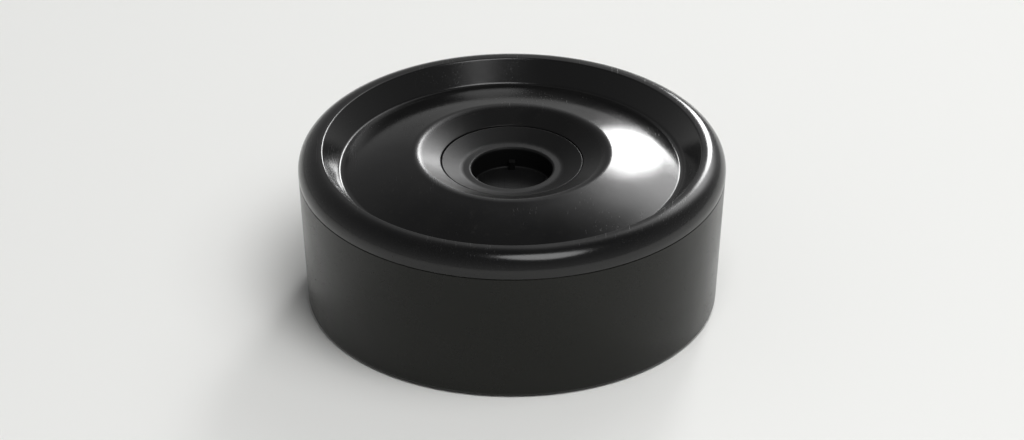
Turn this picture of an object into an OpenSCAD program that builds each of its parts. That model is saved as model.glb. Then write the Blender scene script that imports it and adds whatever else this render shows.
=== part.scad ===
/* [Overall] */
// Diameter over the rim, the widest part, before its edge is rounded
rim_d = 255.4; // [230:0.2:300]
// Diameter of the foot, before its edge is rounded
base_d = 243; // [225:1:290]
// Height of the rim's flat land above the ground
rim_h = 98; // [85:0.5:115]
// Wall of the tub, measured level
tub_wall = 3; // [2:0.1:4]
// Wall of the lid, the same all over its rings
lid_wall = 3; // [2:0.1:4]

/* [Rim and groove] */
// Rounding of the rim's outer edge
rim_round = 12; // [8:0.5:13]
// Width of the rim's top, from the outer corner to the inner one
rim_top_w = 15.2; // [14:0.2:18]
// Rounding where the rim's top turns into its inner slope
rim_inner_round = 1.5; // [0.5:0.25:3]
// Width of the rim's inner slope in plan
rim_slope_w = 10; // [8:0.5:13]
// Depth of the groove inside the rim, below the rim's land
groove_depth = 12.5; // [9:0.5:14]
// Width of the groove's flat bottom
groove_w = 3; // [2:0.5:5]
// Rounding at both sides of the groove's bottom
groove_round = 2.5; // [1:0.25:4]

/* [Crown] */
// Diameter of the crown's crest
crest_d = 114; // [104:1:124]
// Depth of the crest below the rim's land, before it is rounded
crest_drop = 1; // [0.5:0.25:3]
// Swell of the crown's slope above a straight cone
crown_swell = 1.5; // [0.5:0.25:3]
// Radius of the swell along the slope
crown_round = 190; // [100:10:240]
// Rounding of the crest
crest_round = 10; // [4:0.5:12]
// Slope of the dish inside the crest, in degrees
dish_slope = 22.5; // [16:0.5:27]
// Rounding at the bottom of that slope
dish_round = 8; // [4:0.5:12]
// Width of the level ring between the dish's slope and the recess
dish_floor_w = 6; // [4:0.5:8]

/* [Lid fastening] */
// Height of the seam between lid and tub below the rim's land
seam_drop = 15; // [14:0.5:20]
// Depth of the lid's skirt below the seam
skirt_h = 11; // [9:0.5:16]
// Wall of the lid's skirt
skirt_wall = 2.5; // [2:0.1:3]
// Radius of the snap bead round the skirt
bead_r = 0.9; // [0.6:0.1:1.2]
// Height of the snap bead's middle below the seam
bead_drop = 6; // [4:0.5:7]
// Chamfer that shows the seam as a fine line
seam_chamfer = 0.6; // [0.3:0.1:1]

/* [Stiffening] */
// Ribs under the crown
crown_ribs = 12; // [6:1:16]
// Depth of the crown's ribs below the groove's underside
crown_rib_h = 8; // [4:0.5:12]
// Ribs under the floor
floor_ribs = 12; // [6:1:16]
// Height of the floor ribs' lower edges above the ground
floor_rib_z = 5; // [4:0.5:6]
// Thickness of every rib
rib_t = 2.5; // [1.5:0.1:3]
// Diameter of the rib ring halfway out under the floor
floor_ring_d = 144; // [120:2:170]
// Diameter of the rib ring round the middle of the floor
hub_ring_d = 44; // [30:2:60]

/* [Foot and floor] */
// Width of the foot that meets the ground, with its rounded edges
foot_w = 9; // [7.5:0.5:11]
// Rounding of the foot's outer edge
foot_round = 3; // [1:0.25:3]
// Rounding of the foot's inner edge
foot_inner_round = 1; // [0.5:0.1:1.2]
// Height of the floor's underside above the ground
floor_rise = 10; // [8:0.5:14]
// Thickness of the floor
floor_t = 3; // [2:0.1:4]
// Rounding inside the tub between floor and wall
floor_round = 5; // [2:0.5:8]

/* [Plug] */
// Diameter of the plug's head
plug_d = 84; // [80:1:94]
// Thickness of the head where its top is level
plug_skin = 2.8; // [2:0.1:4]
// Rounding of the head's upper edge and of the lid's edge round it
plug_edge_round = 0.6; // [0.3:0.1:1]
// Diameter of the recess in the head
recess_d = 48; // [40:1:52]
// Rounding of the recess's upper edge
recess_round = 1.5; // [0.5:0.25:3]
// Depth of that recess
recess_depth = 13; // [10:0.5:16]
// Floor of the recess
recess_floor = 3; // [2:0.1:4]
// Wall of the shank round the recess, under its thread
shank_wall = 2.8; // [2:0.1:4]
// Depth of the thread's room between the shank and the neck
thread_room = 1.7; // [1:0.1:2.5]
// Length of the plain collar that centres the plug in the neck
collar_len = 5; // [3:0.5:7]
// Length of the shank below the head
shank_len = 20; // [18:0.5:22]
// Lugs in the recess, to turn the plug by
lug_count = 4; // [3:1:6]
// Width of a lug
lug_w = 4; // [3:0.5:6]
// Reach of a lug into the recess
lug_reach = 4; // [2:0.5:5]
// Height of a lug above the recess floor
lug_h = 5; // [3:0.5:8]
// Width of the moulding pocket under the head
pocket_w = 3.5; // [2:0.5:3.5]
// Depth of that pocket
pocket_depth = 2.8; // [1.5:0.1:3.2]
// Wall of the head outside the pocket
head_wall = 3; // [2:0.1:4]

/* [Seal and neck] */
// Thickness of the flat seal
seal_t = 2; // [1.5:0.1:3]
// Width of the flat seal
seal_w = 6; // [4:0.5:6]
// Length of the neck below the seal's seat
neck_len = 22; // [20:0.5:26]
// Wall of the neck
neck_wall = 3; // [2:0.1:4]
// Chamfer at the mouth of the neck
neck_chamfer = 0.6; // [0:0.1:0.8]

/* [Fits] */
// Running clearance of the collar in the neck, on the radius
collar_gap = 0.08; // [0.02:0.01:0.1]
// Clearance between the lid's skirt and the tub's wall
skirt_gap = 0.2; // [0.1:0.05:0.4]
// Clearance round the snap bead in its groove
bead_gap = 0.2; // [0.1:0.05:0.3]
// Clearance of the seal round the collar and inside its seat, on the radius
seal_gap = 0.3; // [0.2:0.05:0.5]
// Clearance between the plug's head and the lid's edge round it, on the radius
edge_gap = 0.3; // [0.2:0.05:0.6]
// Gap under the plug's head when its seal is closed
head_gap = 0.3; // [0.2:0.05:0.6]

/* [Hidden] */
$fn = 144;

// Overlap of ribs and lugs into the walls that carry them
bite = 1;
// Depth by which a corner's round piece reaches past its chord
chord_bite = 0.2;
// Reach of that piece's outline past the corner, as a multiple of the corner's distance
corner_past = 1.6;
// Part of an edge that the roundings at its two ends may fill
edge_fill = 0.9;
// Amount by which a corner's circle passes the edges that it rounds, so that they cross cleanly
arc_past = 0.001;

rim_r = rim_d / 2;
base_r = base_d / 2;
seam_z = rim_h - seam_drop;
skirt_z = seam_z - skirt_h;
bead_z = seam_z - bead_drop;
floor_z = floor_rise + floor_t;
foot_in_r = base_r - foot_w;

groove_z = rim_h - groove_depth;
crest_z = rim_h - crest_drop;
rim_in_r = rim_r - rim_top_w;
groove_out_r = rim_in_r - rim_slope_w;
groove_in_r = groove_out_r - groove_w;
crest_r = crest_d / 2;
crown_mid_r = (groove_in_r + crest_r) / 2;
crown_mid_z = (groove_z + crest_z) / 2 + crown_swell;
crown_rib_z = groove_z - lid_wall - crown_rib_h;
rim_hollow_round = rim_round / 2;

recess_r = recess_d / 2;
shank_r = recess_r + shank_wall;
collar_r = shank_r + thread_room;
neck_r = collar_r + collar_gap;
neck_out_r = neck_r + neck_wall;
seal_in_r = collar_r + seal_gap;
seal_out_r = seal_in_r + seal_w;
seat_r = seal_out_r + seal_gap;
head_r = plug_d / 2;
hole_r = head_r + edge_gap;
pocket_out_r = head_r - head_wall;

// Height of the dish at a radius; the lid and the plug's head share it
function dish_z(r) = crest_z - (crest_r - r) * tan(dish_slope);

dip_r = recess_r + dish_floor_w;
dip_z = dish_z(dip_r);
head_z = dip_z - plug_skin;
well_z = head_z - head_gap;
seat_z = head_z - seal_t;
neck_z = seat_z - neck_len;
recess_z = dip_z - recess_depth;
shank_z = head_z - shank_len;

// Radius of the piece's tapered outside and of the tub's inside at a height
function outer_r(z) = base_r + (rim_r - base_r) * z / rim_h;
function inner_r(z) = outer_r(z) - tub_wall;
function skirt_r(z) = inner_r(z) - skirt_gap;

// Plane geometry of a profile whose points are [radius, height, rounding]
function flat(p) = [p[0], p[1]];
function unit(v) = v / norm(v);
function left_of(v) = [-v[1], v[0]];
function turn(a, b, c) = (b[0] - a[0]) * (c[1] - b[1]) - (b[1] - a[1]) * (c[0] - b[0]);
function at(path, i) = flat(path[(i + len(path)) % len(path)]);
function edge(path, i) = at(path, i + 1) - at(path, i);
function bend(path, i) = turn(at(path, i - 1), at(path, i), at(path, i + 1));
function half_angle(path, i) = acos(-unit(edge(path, i - 1)) * unit(edge(path, i))) / 2;

// Length of edge that a corner's rounding takes, cut back where two roundings would meet on one edge
function wanted(path, i) = path[(i + len(path)) % len(path)][2] / tan(half_angle(path, i));
function room(path, i) =
    let (both = wanted(path, i) + wanted(path, i + 1))
    both > 0 ? min(1, edge_fill * norm(edge(path, i)) / both) : 1;
function reach(path, i) = wanted(path, i) * min(room(path, i - 1), room(path, i));

// Corner b of a profile moved square to its edges, into the material on their left
function moved(a, b, c, t) =
    let (n = left_of(unit(b - a)), m = left_of(unit(c - b)))
    b + t * (n + m) / (1 + n * m);

// A run of profile points moved into the material, with the rounding that keeps the wall even
function inset(path, t) = [
    for (i = [1 : len(path) - 2])
        let (a = flat(path[i - 1]), b = flat(path[i]), c = flat(path[i + 1]), q = moved(a, b, c, t))
        [q[0], q[1], turn(a, b, c) > 0 ? max(path[i][2] - t, 0.5) : path[i][2] + t]
];

function backwards(path) = [for (i = [len(path) - 1 : -1 : 0]) path[i]];

// The piece of a circle that rounds one corner, from its chord out to its arc
module corner_piece(path, i) {
    k = reach(path, i);
    h = half_angle(path, i);
    r = k * tan(h);
    run = k + 2 * sqrt(2 * r * arc_past);
    back = -unit(edge(path, i - 1));
    on = unit(edge(path, i));
    corner = at(path, i);
    p = corner + back * run;
    q = corner + on * run;
    centre = corner + unit(back + on) * k / cos(h);
    mid = (p + q) / 2;
    past = unit(centre - mid) * min(chord_bite, norm(centre - mid) / 2);
    intersection() {
        translate(centre) circle(r = r + arc_past);
        polygon([p, centre + corner_past * (corner - centre), q, mid + past]);
    }
}

// A closed profile, drawn anticlockwise, whose corners are true arcs
module profile(path) {
    rounded = [for (i = [0 : len(path) - 1]) if (path[i][2] > 0) i];
    outline = [
        for (i = [0 : len(path) - 1])
            each path[i][2] > 0
                ? [at(path, i) - unit(edge(path, i - 1)) * reach(path, i), at(path, i) + unit(edge(path, i)) * reach(path, i)]
                : [at(path, i)]
    ];
    difference() {
        union() {
            polygon(outline);
            for (i = rounded) if (bend(path, i) > 0) corner_piece(path, i);
        }
        for (i = rounded) if (bend(path, i) < 0) corner_piece(path, i);
    }
}

// The moulded top of the lid, from the seam over the rim and the rings to the neck's mouth
rings = [
    [outer_r(seam_z), seam_z, 0],
    [rim_r, rim_h, rim_round],
    [rim_in_r, rim_h, rim_inner_round],
    [groove_out_r, groove_z, groove_round],
    [groove_in_r, groove_z, groove_round],
    [crown_mid_r, crown_mid_z, crown_round],
    [crest_r, crest_z, crest_round],
    [hole_r, dish_z(hole_r), plug_edge_round],
    [hole_r, well_z, 0],
    [seat_r, well_z, 0],
    [seat_r, seat_z, 0],
    [neck_r, seat_z, 0]
];

// The same rings seen from inside, one wall thickness in, from the rim's inner corner to the seal's seat
under_rings = [for (i = [1 : len(rings) - 3]) inset(rings, lid_wall)[i]];

// Middle of the lid's wall, where the ribs end
mid_rings = inset(rings, lid_wall / 2);

module lid_section() {
    profile(concat(
        [for (i = [0 : len(rings) - 2]) rings[i]],
        [
            [neck_r + neck_chamfer, seat_z, 0],
            [neck_r, seat_z - neck_chamfer, 0],
            [neck_r, neck_z, 0],
            [neck_out_r, neck_z, 0],
            [neck_out_r, seat_z - lid_wall, groove_round]
        ],
        backwards(under_rings),
        [
            [skirt_r(rim_h - lid_wall) - skirt_wall, rim_h - lid_wall, rim_hollow_round],
            [skirt_r(skirt_z) - skirt_wall, skirt_z, 0],
            [skirt_r(skirt_z), skirt_z, seam_chamfer],
            [skirt_r(seam_z), seam_z, 0]
        ]
    ));
    translate([skirt_r(bead_z), bead_z]) circle(r = bead_r);
}

module crown_rib_section() {
    polygon(concat(
        [[neck_out_r - bite, crown_rib_z], [groove_out_r, crown_rib_z]],
        [for (i = [2 : len(mid_rings) - 1]) flat(mid_rings[i])],
        [[neck_out_r - bite, seat_z - lid_wall / 2]]
    ));
}

module lid() {
    color("dimgray") {
        rotate_extrude() lid_section();
        intersection() {
            rotate_extrude() crown_rib_section();
            for (i = [0 : crown_ribs - 1])
                rotate(i * 360 / crown_ribs)
                    translate([0, -rib_t / 2, neck_z]) cube([rim_r, rib_t, crest_z - neck_z]);
        }
    }
}

module tub_section() {
    difference() {
        profile([
            [0, floor_rise, 0],
            [foot_in_r, floor_rise, 0],
            [foot_in_r, 0, foot_inner_round],
            [base_r, 0, foot_round],
            [outer_r(seam_z - seam_chamfer), seam_z - seam_chamfer, 0],
            [outer_r(seam_z) - seam_chamfer, seam_z, 0],
            [inner_r(seam_z), seam_z, 0],
            [inner_r(floor_z), floor_z, floor_round],
            [0, floor_z, 0]
        ]);
        translate([skirt_r(bead_z), bead_z]) circle(r = bead_r + bead_gap);
    }
}

module floor_ring(d) {
    translate([0, 0, floor_rib_z])
        difference() {
            cylinder(d = d + rib_t, h = floor_rise - floor_rib_z + bite);
            translate([0, 0, -bite]) cylinder(d = d - rib_t, h = floor_rise - floor_rib_z + 3 * bite);
        }
}

module tub() {
    color("black") {
        rotate_extrude() tub_section();
        floor_ring(floor_ring_d);
        floor_ring(hub_ring_d);
        for (i = [0 : floor_ribs - 1])
            rotate(i * 360 / floor_ribs)
                translate([hub_ring_d / 2, -rib_t / 2, floor_rib_z])
                    cube([foot_in_r + bite - hub_ring_d / 2, rib_t, floor_rise - floor_rib_z + bite]);
    }
}

module plug_section() {
    difference() {
        profile([
            [0, recess_z - recess_floor, 0],
            [recess_r, recess_z - recess_floor, 0],
            [recess_r, shank_z, 0],
            [shank_r, shank_z, seam_chamfer],
            [shank_r, head_z - collar_len, 0],
            [collar_r, head_z - collar_len, seam_chamfer],
            [collar_r, head_z, 0],
            [head_r, head_z, seam_chamfer],
            [head_r, dish_z(head_r), plug_edge_round],
            [dip_r, dip_z, dish_round],
            [recess_r, dip_z, recess_round],
            [recess_r, recess_z, 0],
            [0, recess_z, 0]
        ]);
        translate([pocket_out_r - pocket_w, head_z - bite]) square([pocket_w, pocket_depth + bite]);
    }
}

module filler_plug() {
    color("slategray") {
        rotate_extrude() plug_section();
        for (i = [0 : lug_count - 1])
            rotate(i * 360 / lug_count)
                translate([recess_r - lug_reach, -lug_w / 2, recess_z - bite])
                    cube([lug_reach + bite, lug_w, lug_h + bite]);
    }
}

module plug_seal() {
    color("darkred")
        translate([0, 0, seat_z])
            difference() {
                cylinder(r = seal_out_r, h = seal_t);
                translate([0, 0, -bite]) cylinder(r = seal_in_r, h = seal_t + 2 * bite);
            }
}

tub();
lid();
filler_plug();
plug_seal();
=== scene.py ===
"""Looks of the checkers piece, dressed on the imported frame. Sizes and profiles are in millimetres."""
import math

import bmesh
import bpy
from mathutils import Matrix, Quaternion, Vector


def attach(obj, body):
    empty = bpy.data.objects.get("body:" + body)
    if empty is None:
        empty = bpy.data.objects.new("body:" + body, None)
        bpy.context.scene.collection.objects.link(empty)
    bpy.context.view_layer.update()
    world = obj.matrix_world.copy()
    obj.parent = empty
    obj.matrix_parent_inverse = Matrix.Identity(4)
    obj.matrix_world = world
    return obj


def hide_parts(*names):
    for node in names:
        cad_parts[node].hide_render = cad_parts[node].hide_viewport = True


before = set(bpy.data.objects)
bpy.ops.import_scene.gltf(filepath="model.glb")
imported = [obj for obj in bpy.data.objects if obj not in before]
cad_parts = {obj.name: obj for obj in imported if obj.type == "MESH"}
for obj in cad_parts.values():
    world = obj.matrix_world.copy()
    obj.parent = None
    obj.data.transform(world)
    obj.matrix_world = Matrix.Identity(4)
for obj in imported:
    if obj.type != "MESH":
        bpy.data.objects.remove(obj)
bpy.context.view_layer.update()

MM = 0.001

# Sizes of the solids, named much as in the part's source, with radii for its diameters
RIM_R, BASE_R, RIM_H = 127.7, 121.5, 98.0
TUB_WALL, LID_WALL = 3.0, 3.0
RIM_ROUND, RIM_TOP_W, RIM_INNER_ROUND, RIM_SLOPE_W = 12.0, 15.2, 1.5, 10.0
GROOVE_DEPTH, GROOVE_W, GROOVE_ROUND = 12.5, 3.0, 2.5
CREST_R, CREST_DROP, CREST_ROUND = 57.0, 1.0, 10.0
CROWN_SWELL, CROWN_ROUND = 1.5, 190.0
DISH_SLOPE, DISH_ROUND, DISH_FLOOR_W = 22.5, 8.0, 6.0
SEAM_DROP, SEAM_CHAMFER, SKIRT_H, SKIRT_WALL = 15.0, 0.6, 11.0, 2.5
RIBS, RIB_T, CROWN_RIB_H, FLOOR_RIB_Z = 12, 2.5, 8.0, 5.0
HUB_RING_R, FLOOR_RING_R = 22.0, 72.0
FOOT_W, FOOT_ROUND, FOOT_INNER_ROUND = 9.0, 3.0, 1.0
FLOOR_RISE, FLOOR_T, FLOOR_ROUND = 10.0, 3.0, 5.0
PLUG_R, PLUG_SKIN, PLUG_EDGE_ROUND = 42.0, 2.8, 0.6
RECESS_R, RECESS_ROUND, RECESS_DEPTH, RECESS_FLOOR = 24.0, 1.5, 13.0, 3.0
SHANK_WALL, THREAD_ROOM, COLLAR_LEN, SHANK_LEN = 2.8, 1.7, 5.0, 20.0
LUGS, LUG_W, LUG_REACH, LUG_H = 4, 4.0, 4.0, 5.0
POCKET_W, POCKET_DEPTH, HEAD_WALL = 3.5, 2.8, 3.0
SEAL_T, SEAL_W, NECK_LEN, NECK_WALL, NECK_CHAMFER = 2.0, 6.0, 22.0, 3.0, 0.6
COLLAR_GAP, SKIRT_GAP, SEAL_GAP, EDGE_GAP, HEAD_GAP = 0.08, 0.2, 0.3, 0.3, 0.3

# Sizes that follow from them
SEAM_Z = RIM_H - SEAM_DROP
SKIRT_Z = SEAM_Z - SKIRT_H
FLOOR_Z = FLOOR_RISE + FLOOR_T
FOOT_IN_R = BASE_R - FOOT_W
RIM_IN_R = RIM_R - RIM_TOP_W
GROOVE_OUT_R = RIM_IN_R - RIM_SLOPE_W
GROOVE_IN_R = GROOVE_OUT_R - GROOVE_W
GROOVE_Z = RIM_H - GROOVE_DEPTH
CREST_Z = RIM_H - CREST_DROP
SHANK_R = RECESS_R + SHANK_WALL
COLLAR_R = SHANK_R + THREAD_ROOM
NECK_R = COLLAR_R + COLLAR_GAP
SEAL_IN_R = COLLAR_R + SEAL_GAP
SEAL_OUT_R = SEAL_IN_R + SEAL_W
SEAT_R = SEAL_OUT_R + SEAL_GAP
HOLE_R = PLUG_R + EDGE_GAP
DIP_R = RECESS_R + DISH_FLOOR_W


def dish_z(r):
    return CREST_Z - (CREST_R - r) * math.tan(math.radians(DISH_SLOPE))


HEAD_Z = dish_z(DIP_R) - PLUG_SKIN
WELL_Z = HEAD_Z - HEAD_GAP
SEAT_Z = HEAD_Z - SEAL_T
NECK_Z = SEAT_Z - NECK_LEN
RECESS_Z = dish_z(DIP_R) - RECESS_DEPTH
SHANK_Z = HEAD_Z - SHANK_LEN

# Details that only the looks have
PITCH, THREAD_START = 4.0, 1.6
THREAD_ROOT_W, THREAD_TIP_W = 2.2, 0.8
THREAD_CLEAR, THREAD_SINK = 0.35, 0.2
PLUG_THREAD_TURNS, NECK_THREAD_TURNS = 3, 4
BREAK, LEAST_ROUND = 0.3, 0.5
POCKET_ROUND, RECESS_FLOOR_ROUND, LUG_ROUND = 0.8, 1.0, 1.0
RIB_DRAFT, RIB_SOFT, RIB_EDGE_LESS, RING_DRAFT = 0.35, 0.5, 0.7, 0.2
EJECTOR_R, EJECTOR_RISE = 4.0, 0.12
GATE_R, GATE_RISE = 2.0, 0.6

# How far a rib or a lug reaches into what carries it
BITE = 1.0

# Faces round a full turn
SEGMENTS, DISC_SIDES, HELIX_STEPS = 288, 40, 96


# Plane geometry of a profile whose points are (radius, height, rounding)

def unit(v):
    return v / v.length


def flat(p):
    return Vector((p[0], p[1]))


def left_of(v):
    return Vector((-v.y, v.x))


def outer_r(z):
    """Radius of the tapered outside at a height."""
    return BASE_R + (RIM_R - BASE_R) * z / RIM_H


def skirt_r(z):
    """Radius of the lid's skirt at a height."""
    return outer_r(z) - TUB_WALL - SKIRT_GAP


def inset(path, t):
    """The inner points of a run, moved into the material on its left, with roundings for an even wall."""
    moved = []
    for before, here, after in zip(path, path[1:], path[2:]):
        a, b, c = flat(before), flat(here), flat(after)
        n, m = left_of(unit(b - a)), left_of(unit(c - b))
        q = b + (n + m) * (t / (1 + n.dot(m)))
        bends_left = (b - a).cross(c - b) > 0
        moved.append((q.x, q.y, max(here[2] - t, LEAST_ROUND) if bends_left else here[2] + t))
    return moved


def rounded(path, sag=0.003, run=8.0, guard=0.5):
    """A closed profile as points: arcs by the height of their chords, straights with guards at both ends."""
    n = len(path)
    at = [flat(p) for p in path]

    def half(i):
        back, on = unit(at[i - 1] - at[i]), unit(at[(i + 1) % n] - at[i])
        return math.acos(max(-1, min(1, back.dot(on)))) / 2

    wanted = [path[i][2] / math.tan(half(i)) if path[i][2] else 0.0 for i in range(n)]
    room = []
    for i in range(n):
        both = wanted[i] + wanted[(i + 1) % n]
        room.append(min(1, 0.98 * (at[(i + 1) % n] - at[i]).length / both) if both else 1)
    corners = []
    for i in range(n):
        k = wanted[i] * min(room[i - 1], room[i])
        if not k:
            corners.append([at[i]])
            continue
        back, on = unit(at[i - 1] - at[i]), unit(at[(i + 1) % n] - at[i])
        centre = at[i] + unit(back + on) * (k / math.cos(half(i)))
        p, q = at[i] + back * k - centre, at[i] + on * k - centre
        sweep = p.angle_signed(q)
        count = max(3, math.ceil(abs(sweep) / (2 * math.acos(1 - sag / p.length))))
        start = math.atan2(p.y, p.x)
        angles = [start - sweep * j / count for j in range(count + 1)]
        corners.append([centre + p.length * Vector((math.cos(a), math.sin(a))) for a in angles])
    points = []
    for i in range(n):
        points += corners[i]
        a, b = corners[i][-1], corners[(i + 1) % n][0]
        length = (b - a).length
        if length > 4 * guard and not (a.x < 1e-6 and b.x < 1e-6):
            spans = max(1, round((length - 2 * guard) / run))
            steps = [guard + (length - 2 * guard) * j / spans for j in range(spans + 1)]
            points += [a + (b - a) * (s / length) for s in steps]
    return [(p.x, p.y) for p in points]


# Meshes

def around(r, z, angle):
    return (r * MM * math.cos(angle), r * MM * math.sin(angle), z * MM)


def bridge(bm, lower, upper):
    """Faces between two closed loops of as many points, or between a loop and a point."""
    count = max(len(lower), len(upper))
    for i in range(count):
        j = (i + 1) % count
        ring = [lower[i % len(lower)], lower[j % len(lower)], upper[j % len(upper)], upper[i % len(upper)]]
        face = list(dict.fromkeys(ring))
        if len(face) > 2:
            bm.faces.new(face)


def lathe(bm, profile):
    """A closed profile turned about Z; points on the axis become one vertex."""
    rings = []
    for r, z in profile:
        angles = [0.0] if r < 1e-6 else [2 * math.pi * i / SEGMENTS for i in range(SEGMENTS)]
        rings.append([bm.verts.new(around(r, z, a)) for a in angles])
    for lower, upper in zip(rings, rings[1:] + rings[:1]):
        bridge(bm, lower, upper)


def stack(bm, outlines, turn=0.0):
    """Closed outlines of (x, y) at their heights, joined into one solid and turned about Z."""
    c, s = math.cos(turn), math.sin(turn)
    rings = []
    for outline, z in outlines:
        rings.append([bm.verts.new(((x * c - y * s) * MM, (x * s + y * c) * MM, z * MM)) for x, y in outline])
    for lower, upper in zip(rings, rings[1:]):
        bridge(bm, lower, upper)
    bm.faces.new(rings[0][::-1])
    bm.faces.new(rings[-1])


def rib(bm, x0, x1, z_tip, z_root, turn):
    """A rib along a radius, thinner at its softened lower edge than at its root."""
    def bar(t):
        return [(x0, -t / 2), (x1, -t / 2), (x1, t / 2), (x0, t / 2)]

    thin = RIB_T - RIB_DRAFT
    edge = (bar(thin - RIB_EDGE_LESS), z_tip)
    stack(bm, [edge, (bar(thin), z_tip + RIB_SOFT), (bar(RIB_T), z_root)], turn)


def disc(bm, x, y, r, low, high):
    """A low round pad with a bevelled lower edge."""
    def ring(radius):
        angles = [2 * math.pi * i / DISC_SIDES for i in range(DISC_SIDES)]
        return [(x + radius * math.cos(a), y + radius * math.sin(a)) for a in angles]

    stack(bm, [(ring(r - (high - low) / 3), low), (ring(r), (low + high) / 2), (ring(r), high)])


def helix(bm, r_root, r_tip, z_start, turns, fade=0.12):
    """A screw thread's ridge, right-handed, that fades in and out over a share of its length."""
    count = turns * HELIX_STEPS
    rings = []
    for i in range(count + 1):
        t = i / count
        z = z_start + PITCH * turns * t
        grown = min(1.0, t / fade, (1 - t) / fade)
        tip = r_root + (r_tip - r_root) * grown * grown * (3 - 2 * grown)
        lower = [(r_root, -THREAD_ROOT_W / 2), (tip, -THREAD_TIP_W / 2)]
        section = lower + [(r, -dz) for r, dz in lower[::-1]]
        rings.append([bm.verts.new(around(r, z + dz, 2 * math.pi * turns * t)) for r, dz in section])
    for a, b in zip(rings, rings[1:]):
        bridge(bm, a, b)
    bm.faces.new(rings[0][::-1])
    bm.faces.new(rings[-1])


def piece(name, build, material, body, replaced=None, sharp=30.0):
    bm = bmesh.new()
    build(bm)
    bmesh.ops.recalc_face_normals(bm, faces=bm.faces)
    mesh = bpy.data.meshes.new(name)
    bm.to_mesh(mesh)
    bm.free()
    mesh.shade_smooth()
    mesh.set_sharp_from_angle(angle=math.radians(sharp))
    mesh.materials.append(material)
    obj = bpy.data.objects.new(name, mesh)
    bpy.context.scene.collection.objects.link(obj)
    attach(obj, body)
    if replaced:
        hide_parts(replaced)


# Pieces

# The lid's moulded top, from the seam over the rim, the groove, the crown and the dish to the neck's mouth
RINGS = [
    (outer_r(SEAM_Z), SEAM_Z, BREAK),
    (RIM_R, RIM_H, RIM_ROUND),
    (RIM_IN_R, RIM_H, RIM_INNER_ROUND),
    (GROOVE_OUT_R, GROOVE_Z, GROOVE_ROUND),
    (GROOVE_IN_R, GROOVE_Z, GROOVE_ROUND),
    ((GROOVE_IN_R + CREST_R) / 2, (GROOVE_Z + CREST_Z) / 2 + CROWN_SWELL, CROWN_ROUND),
    (CREST_R, CREST_Z, CREST_ROUND),
    (HOLE_R, dish_z(HOLE_R), PLUG_EDGE_ROUND),
    (HOLE_R, WELL_Z, BREAK),
    (SEAT_R, WELL_Z, BREAK),
    (SEAT_R, SEAT_Z, 0),
    (NECK_R, SEAT_Z, 0),
]


def build_lid(bm):
    under = inset(RINGS, LID_WALL)[1:]
    neck_out_r = NECK_R + NECK_WALL
    path = RINGS[:-1] + [
        (NECK_R + NECK_CHAMFER, SEAT_Z, 0),
        (NECK_R, SEAT_Z - NECK_CHAMFER, 0),
        (NECK_R, NECK_Z, BREAK),
        (neck_out_r, NECK_Z, BREAK),
        (neck_out_r, SEAT_Z - LID_WALL, GROOVE_ROUND),
    ] + under[::-1] + [
        (skirt_r(RIM_H - LID_WALL) - SKIRT_WALL, RIM_H - LID_WALL, RIM_ROUND / 2),
        (skirt_r(SKIRT_Z) - SKIRT_WALL, SKIRT_Z, 0),
        (skirt_r(SKIRT_Z), SKIRT_Z, SEAM_CHAMFER),
        (skirt_r(SEAM_Z), SEAM_Z, 0),
    ]
    lathe(bm, rounded(path))
    low = GROOVE_Z - LID_WALL - CROWN_RIB_H
    for i in range(RIBS):
        rib(bm, neck_out_r - BITE, GROOVE_OUT_R, low, GROOVE_Z - LID_WALL / 2, 2 * math.pi * i / RIBS)


def build_tub(bm):
    path = [
        (0, FLOOR_RISE, 0),
        (FOOT_IN_R, FLOOR_RISE, FOOT_INNER_ROUND),
        (FOOT_IN_R, 0, FOOT_INNER_ROUND),
        (BASE_R, 0, FOOT_ROUND),
        (outer_r(SEAM_Z - SEAM_CHAMFER), SEAM_Z - SEAM_CHAMFER, BREAK),
        (outer_r(SEAM_Z) - SEAM_CHAMFER, SEAM_Z, 0),
        (outer_r(SEAM_Z) - TUB_WALL, SEAM_Z, 0),
        (outer_r(FLOOR_Z) - TUB_WALL, FLOOR_Z, FLOOR_ROUND),
        (0, FLOOR_Z, 0),
    ]
    lathe(bm, rounded(path))
    root = FLOOR_RISE + BITE
    for i in range(RIBS):
        rib(bm, HUB_RING_R, FOOT_IN_R + BITE, FLOOR_RIB_Z, root, 2 * math.pi * i / RIBS)
    for r in (HUB_RING_R, FLOOR_RING_R):
        half, tip = RIB_T / 2, RIB_T / 2 - RING_DRAFT
        lower = [(r - tip, FLOOR_RIB_Z, BREAK), (r + tip, FLOOR_RIB_Z, BREAK)]
        lathe(bm, rounded(lower + [(r + half, root, 0), (r - half, root, 0)]))
    # Marks of the mould: ejector pins between the ribs, and the gate in the middle
    for r in ((HUB_RING_R + FLOOR_RING_R) / 2, (FLOOR_RING_R + FOOT_IN_R) / 2):
        for i in range(RIBS):
            a = 2 * math.pi * (i + 0.5) / RIBS
            disc(bm, r * math.cos(a), r * math.sin(a), EJECTOR_R, FLOOR_RISE - EJECTOR_RISE, root)
    disc(bm, 0, 0, GATE_R, FLOOR_RISE - GATE_RISE, root)


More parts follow.
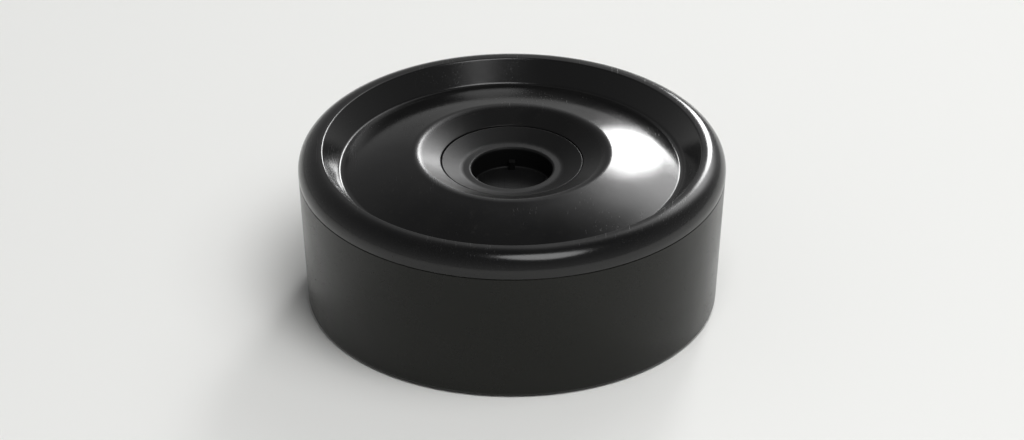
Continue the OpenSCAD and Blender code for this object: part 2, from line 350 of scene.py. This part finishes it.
def build_plug(bm):
    pocket_out_r = PLUG_R - HEAD_WALL
    pocket_in_r = pocket_out_r - POCKET_W
    path = [
        (0, RECESS_Z - RECESS_FLOOR, 0),
        (RECESS_R, RECESS_Z - RECESS_FLOOR, POCKET_ROUND),
        (RECESS_R, SHANK_Z, BREAK),
        (SHANK_R, SHANK_Z, SEAM_CHAMFER),
        (SHANK_R, HEAD_Z - COLLAR_LEN, LEAST_ROUND),
        (COLLAR_R, HEAD_Z - COLLAR_LEN, SEAM_CHAMFER),
        (COLLAR_R, HEAD_Z, 0),
        (pocket_in_r, HEAD_Z, BREAK),
        (pocket_in_r, HEAD_Z + POCKET_DEPTH, POCKET_ROUND),
        (pocket_out_r, HEAD_Z + POCKET_DEPTH, POCKET_ROUND),
        (pocket_out_r, HEAD_Z, BREAK),
        (PLUG_R, HEAD_Z, SEAM_CHAMFER),
        (PLUG_R, dish_z(PLUG_R), PLUG_EDGE_ROUND),
        (DIP_R, dish_z(DIP_R), DISH_ROUND),
        (RECESS_R, dish_z(DIP_R), RECESS_ROUND),
        (RECESS_R, RECESS_Z, RECESS_FLOOR_ROUND),
        (0, RECESS_Z, 0),
    ]
    lathe(bm, rounded(path))
    tip, root, half = RECESS_R - LUG_REACH, RECESS_R + BITE, LUG_W / 2
    outline = [(tip, -half, LUG_ROUND), (root, -half, 0), (root, half, 0), (tip, half, LUG_ROUND)]
    lug = rounded(outline, run=2 * LUG_REACH)
    for i in range(LUGS):
        stack(bm, [(lug, RECESS_Z - BITE), (lug, RECESS_Z + LUG_H)], 2 * math.pi * i / LUGS)
    helix(bm, SHANK_R - THREAD_SINK, COLLAR_R - THREAD_CLEAR, SHANK_Z + THREAD_START, PLUG_THREAD_TURNS)


def build_neck_thread(bm):
    tip = SHANK_R + THREAD_CLEAR + THREAD_SINK
    helix(bm, NECK_R + THREAD_SINK, tip, NECK_Z + THREAD_START + PITCH / 2, NECK_THREAD_TURNS)


def build_seal(bm):
    top = SEAT_Z + SEAL_T
    corners = ((SEAL_IN_R, SEAT_Z), (SEAL_OUT_R, SEAT_Z), (SEAL_OUT_R, top), (SEAL_IN_R, top))
    lathe(bm, rounded([(r, z, BREAK) for r, z in corners]))


# Materials

class Shader:
    """A new material with short calls for the nodes that the finishes share."""

    def __init__(self, name, seed=0.0):
        self.material = bpy.data.materials.new(name)
        self.material.use_nodes = True
        self.nodes = self.material.node_tree.nodes
        self.links = self.material.node_tree.links
        self.bsdf = self.nodes["Principled BSDF"]
        self.seed = seed
        self.where = self.nodes.new("ShaderNodeTexCoord").outputs["Object"]

    def join(self, value, socket):
        if isinstance(value, (int, float)):
            socket.default_value = value
        else:
            self.links.new(value, socket)

    def noise(self, scale, detail, roughness=0.5, source=None):
        node = self.nodes.new("ShaderNodeTexNoise")
        node.noise_dimensions = "4D"
        for key, number in (("W", self.seed), ("Scale", scale), ("Detail", detail), ("Roughness", roughness)):
            node.inputs[key].default_value = number
        self.links.new(source or self.where, node.inputs["Vector"])
        return node.outputs["Fac"]

    def stretched(self, scale, turn):
        node = self.nodes.new("ShaderNodeMapping")
        node.inputs["Rotation"].default_value = (0.0, 0.0, turn)
        node.inputs["Scale"].default_value = scale
        self.links.new(self.where, node.inputs["Vector"])
        return node.outputs["Vector"]

    def remap(self, value, low, high, to_low=0.0, to_high=1.0):
        node = self.nodes.new("ShaderNodeMapRange")
        for key, number in zip(("From Min", "From Max", "To Min", "To Max"), (low, high, to_low, to_high)):
            node.inputs[key].default_value = number
        self.links.new(value, node.inputs["Value"])
        return node.outputs["Result"]

    def maths(self, kind, a, b):
        node = self.nodes.new("ShaderNodeMath")
        node.operation = kind
        self.join(a, node.inputs[0])
        self.join(b, node.inputs[1])
        return node.outputs[0]

    def parts(self, vector):
        node = self.nodes.new("ShaderNodeSeparateXYZ")
        self.links.new(vector, node.inputs[0])
        return node.outputs

    def mix(self, factor, first, second):
        node = self.nodes.new("ShaderNodeValToRGB")
        node.color_ramp.elements[0].color = (*first, 1.0)
        node.color_ramp.elements[1].color = (*second, 1.0)
        self.links.new(factor, node.inputs["Fac"])
        return node.outputs["Color"]

    def bump(self, height, strength, distance, below=None):
        node = self.nodes.new("ShaderNodeBump")
        node.inputs["Strength"].default_value = strength
        node.inputs["Distance"].default_value = distance
        self.links.new(height, node.inputs["Height"])
        if below:
            self.links.new(below, node.inputs["Normal"])
        return node.outputs["Normal"]


BLACK = (0.0045, 0.0045, 0.0046)
OLIVE_BLACK = (0.0045, 0.0048, 0.0030)
DUST = (0.045, 0.043, 0.039)
# The dull film that fingers leave in the dish: it begins at the first radius and is full within the second.
# It adds to the roughness and leaves this share of the shine.
FILM_EDGE, FILM_FULL = (CREST_R + 1.5) * MM, (CREST_R - 4.5) * MM
FILM_ROUGH, FILM_SHINE = 0.12, 0.42


def plastic(name, rough, specular, seed, colour=BLACK, filmed=False):
    """Moulded black plastic: slow waves, orange peel, scratches from handling, dust where it settles."""
    s = Shader(name, seed)
    scratches = None
    for turn in (0.4, 1.5, 2.6):
        lines = s.remap(s.noise(1.0, 2.0, 0.6, s.stretched((1100.0, 16.0, 1100.0), turn)), 0.62, 0.70)
        patch = s.remap(s.noise(22.0, 2.0, 0.5, s.stretched((1.0, 1.0, 1.0), turn)), 0.5, 0.62)
        both = s.maths("MULTIPLY", lines, patch)
        scratches = s.maths("MAXIMUM", scratches, both) if scratches else both
    gloss = s.remap(s.noise(16.0, 5.0, 0.6), 0.3, 0.7, rough - 0.04, rough + 0.07)
    dulled = s.maths("MULTIPLY", scratches, 0.20)
    s.bsdf.inputs["Specular IOR Level"].default_value = specular
    if filmed:
        at = s.parts(s.where)
        squares = [s.maths("MULTIPLY", at[axis], at[axis]) for axis in "XY"]
        radius = s.maths("POWER", s.maths("ADD", *squares), 0.5)
        film = s.remap(radius, FILM_EDGE, FILM_FULL)
        dulled = s.maths("ADD", dulled, s.maths("MULTIPLY", film, FILM_ROUGH))
        shine = s.remap(film, 0.0, 1.0, specular, specular * FILM_SHINE)
        s.links.new(shine, s.bsdf.inputs["Specular IOR Level"])
    s.links.new(s.maths("ADD", gloss, dulled), s.bsdf.inputs["Roughness"])

    facing = s.parts(s.nodes.new("ShaderNodeNewGeometry").outputs["Normal"])
    settles = s.remap(facing["Z"], 0.55, 1.0)
    specks = s.remap(s.noise(260.0, 3.0, 0.7), 0.60, 0.78)
    haze = s.remap(s.noise(14.0, 4.0, 0.6), 0.45, 0.75, 0.0, 0.35)
    dust = s.maths("MULTIPLY", settles, s.maths("MAXIMUM", specks, haze))
    s.links.new(s.mix(s.maths("MULTIPLY", dust, 0.35), colour, DUST), s.bsdf.inputs["Base Color"])

    waves = s.bump(s.noise(26.0, 1.0), 1.0, 0.0004)
    peel = s.maths("ADD", s.noise(170.0, 2.0), s.maths("MULTIPLY", s.noise(1400.0, 2.0), 0.12))
    relief = s.maths("SUBTRACT", peel, s.maths("MULTIPLY", scratches, 0.30))
    s.links.new(s.bump(relief, 0.18, 0.00012, waves), s.bsdf.inputs["Normal"])
    s.bsdf.inputs["IOR"].default_value = 1.5
    return s.material


def rubber(name):
    """Matte black rubber with a fine grain."""
    s = Shader(name, 3.1)
    grain = s.noise(900.0, 3.0)
    s.links.new(s.mix(grain, (0.018, 0.018, 0.019), (0.040, 0.039, 0.038)), s.bsdf.inputs["Base Color"])
    s.links.new(s.bump(grain, 0.3, 0.0001), s.bsdf.inputs["Normal"])
    s.bsdf.inputs["Roughness"].default_value = 0.7
    return s.material


def floor_paint():
    """A pale floor that is clear from below, so that the underside can be looked at."""
    s = Shader("floor")
    s.bsdf.inputs["Base Color"].default_value = (0.86, 0.862, 0.842, 1.0)
    s.bsdf.inputs["Roughness"].default_value = 0.85
    clear = s.nodes.new("ShaderNodeBsdfTransparent")
    sides = s.nodes.new("ShaderNodeMixShader")
    s.links.new(s.nodes.new("ShaderNodeNewGeometry").outputs["Backfacing"], sides.inputs[0])
    s.links.new(s.bsdf.outputs[0], sides.inputs[1])
    s.links.new(clear.outputs[0], sides.inputs[2])
    s.links.new(sides.outputs[0], s.nodes["Material Output"].inputs["Surface"])
    return s.material


lid_plastic = plastic("lid_plastic", rough=0.16, specular=0.5, seed=1.7, filmed=True)
tub_plastic = plastic("tub_plastic", rough=0.24, specular=0.285, seed=4.2, colour=OLIVE_BLACK)
plug_plastic = plastic("plug_plastic", rough=0.41, specular=0.19, seed=7.9)
seal_rubber = rubber("seal_rubber")

piece("tub_shell", build_tub, tub_plastic, "piece", "tub")
piece("lid_shell", build_lid, lid_plastic, "piece", "lid")
piece("plug_body", build_plug, plug_plastic, "plug", "filler_plug")
piece("neck_thread", build_neck_thread, lid_plastic, "piece")
piece("seal_ring", build_seal, seal_rubber, "seal", "plug_seal")

# Stage, in metres from here on
FLOOR_HALF, FLOOR_DROP = 9.0, 0.0002
corners = [(x * FLOOR_HALF, y * FLOOR_HALF, 0) for x, y in ((-1, -1), (1, -1), (1, 1), (-1, 1))]
floor_mesh = bpy.data.meshes.new("floor")
floor_mesh.from_pydata(corners, [], [(0, 1, 2, 3)])
floor_mesh.materials.append(floor_paint())
floor = bpy.data.objects.new("floor", floor_mesh)
floor.location.z = -FLOOR_DROP
bpy.context.scene.collection.objects.link(floor)

# Studio: pale at the horizon and dimmer overhead, by the sine of the elevation, with a soft glow on one side
SKY = ((0.0, (0.45, 0.45, 0.445)), (0.35, (0.29, 0.29, 0.29)), (0.95, (0.080, 0.080, 0.083)))
GLOW_AZIMUTH, GLOW_ELEVATION, GLOW_SPREAD, GLOW_STRENGTH = 63.0, 34.0, 12.0, 5.0


def towards(azimuth, elevation):
    """A direction; azimuth is counted from +X towards +Y."""
    a, e = math.radians(azimuth), math.radians(elevation)
    return Vector((math.cos(a) * math.cos(e), math.sin(a) * math.cos(e), math.sin(e)))


def studio():
    world = bpy.data.worlds.new("studio")
    world.use_nodes = True
    nodes, links = world.node_tree.nodes, world.node_tree.links
    way = nodes.new("ShaderNodeTexCoord").outputs["Generated"]

    split = nodes.new("ShaderNodeSeparateXYZ")
    ramp = nodes.new("ShaderNodeValToRGB")
    stops = ramp.color_ramp.elements
    for stop, (position, colour) in zip((stops[0], stops.new(0.5), stops[-1]), SKY):
        stop.position = position
        stop.color = (*colour, 1.0)
    links.new(way, split.inputs[0])
    links.new(split.outputs["Z"], ramp.inputs["Fac"])
    links.new(ramp.outputs["Color"], nodes["Background"].inputs["Color"])

    # The glow falls off as a bell curve of the angle from its middle
    glow = nodes.new("ShaderNodeBackground")
    aligned = nodes.new("ShaderNodeVectorMath")
    aligned.operation = "DOT_PRODUCT"
    aligned.inputs[1].default_value = towards(GLOW_AZIMUTH, GLOW_ELEVATION)
    links.new(way, aligned.inputs[0])
    value = aligned.outputs["Value"]
    sharpness = 2 / math.radians(GLOW_SPREAD) ** 2
    bell = (("SUBTRACT", 1), ("MULTIPLY", sharpness), ("EXPONENT", 0), ("MULTIPLY", GLOW_STRENGTH))
    for kind, number in bell:
        step = nodes.new("ShaderNodeMath")
        step.operation = kind
        step.inputs[1].default_value = number
        links.new(value, step.inputs[0])
        value = step.outputs[0]
    links.new(value, glow.inputs["Strength"])

    both = nodes.new("ShaderNodeAddShader")
    links.new(nodes["Background"].outputs[0], both.inputs[0])
    links.new(glow.outputs[0], both.inputs[1])
    links.new(both.outputs[0], nodes["World Output"].inputs["Surface"])
    return world


bpy.context.scene.world = studio()


LAMP_AIM_HEIGHT = 0.06


def soft_light(name, azimuth, elevation, distance, width, height, power, lean=0):
    """An oval soft light aimed at the piece; its top leans towards a smaller azimuth."""
    data = bpy.data.lights.new(name, "AREA")
    data.shape = "ELLIPSE"
    data.size = width
    data.size_y = height
    data.energy = power
    obj = bpy.data.objects.new(name, data)
    way = towards(azimuth, elevation)
    obj.location = Vector((0, 0, LAMP_AIM_HEIGHT)) + way * distance
    obj.rotation_mode = "QUATERNION"
    obj.rotation_quaternion = way.to_track_quat("Z", "Y") @ Quaternion((0, 0, 1), math.radians(lean))
    obj.visible_camera = False
    bpy.context.scene.collection.objects.link(obj)
    return obj


soft_light("key", azimuth=73.7, elevation=24.5, distance=2.2, width=0.42, height=0.90, power=13.7, lean=8)
soft_light("over_camera", azimuth=-61, elevation=68, distance=2.4, width=1.15, height=1.4, power=18.0)
fill = soft_light("fill", azimuth=-40, elevation=66, distance=3.0, width=2.6, height=2.6, power=39.5)
fill.visible_glossy = False

# Camera: at the photograph's angle and distance, with a longer lens that frames the one piece
CAMERA_ELEVATION, CAMERA_DISTANCE, AIM_HEIGHT = 30.0, 5.29, 0.050
FRAME_WIDTH, PIXELS_PER_METRE, SENSOR = 1024, 1680, 36.0
camera_data = bpy.data.cameras.new("camera")
camera_data.sensor_width = SENSOR
camera_data.lens = SENSOR * CAMERA_DISTANCE * PIXELS_PER_METRE / FRAME_WIDTH
camera_data.clip_start = 0.1
camera_data.clip_end = 30.0
camera = bpy.data.objects.new("camera", camera_data)
tilt = math.radians(CAMERA_ELEVATION)
camera.location = (0, -CAMERA_DISTANCE * math.cos(tilt), AIM_HEIGHT + CAMERA_DISTANCE * math.sin(tilt))
camera.rotation_euler = (math.pi / 2 - tilt, 0, 0)
bpy.context.scene.collection.objects.link(camera)
bpy.context.scene.camera = camera
bpy.context.scene.view_settings.view_transform = "Standard"
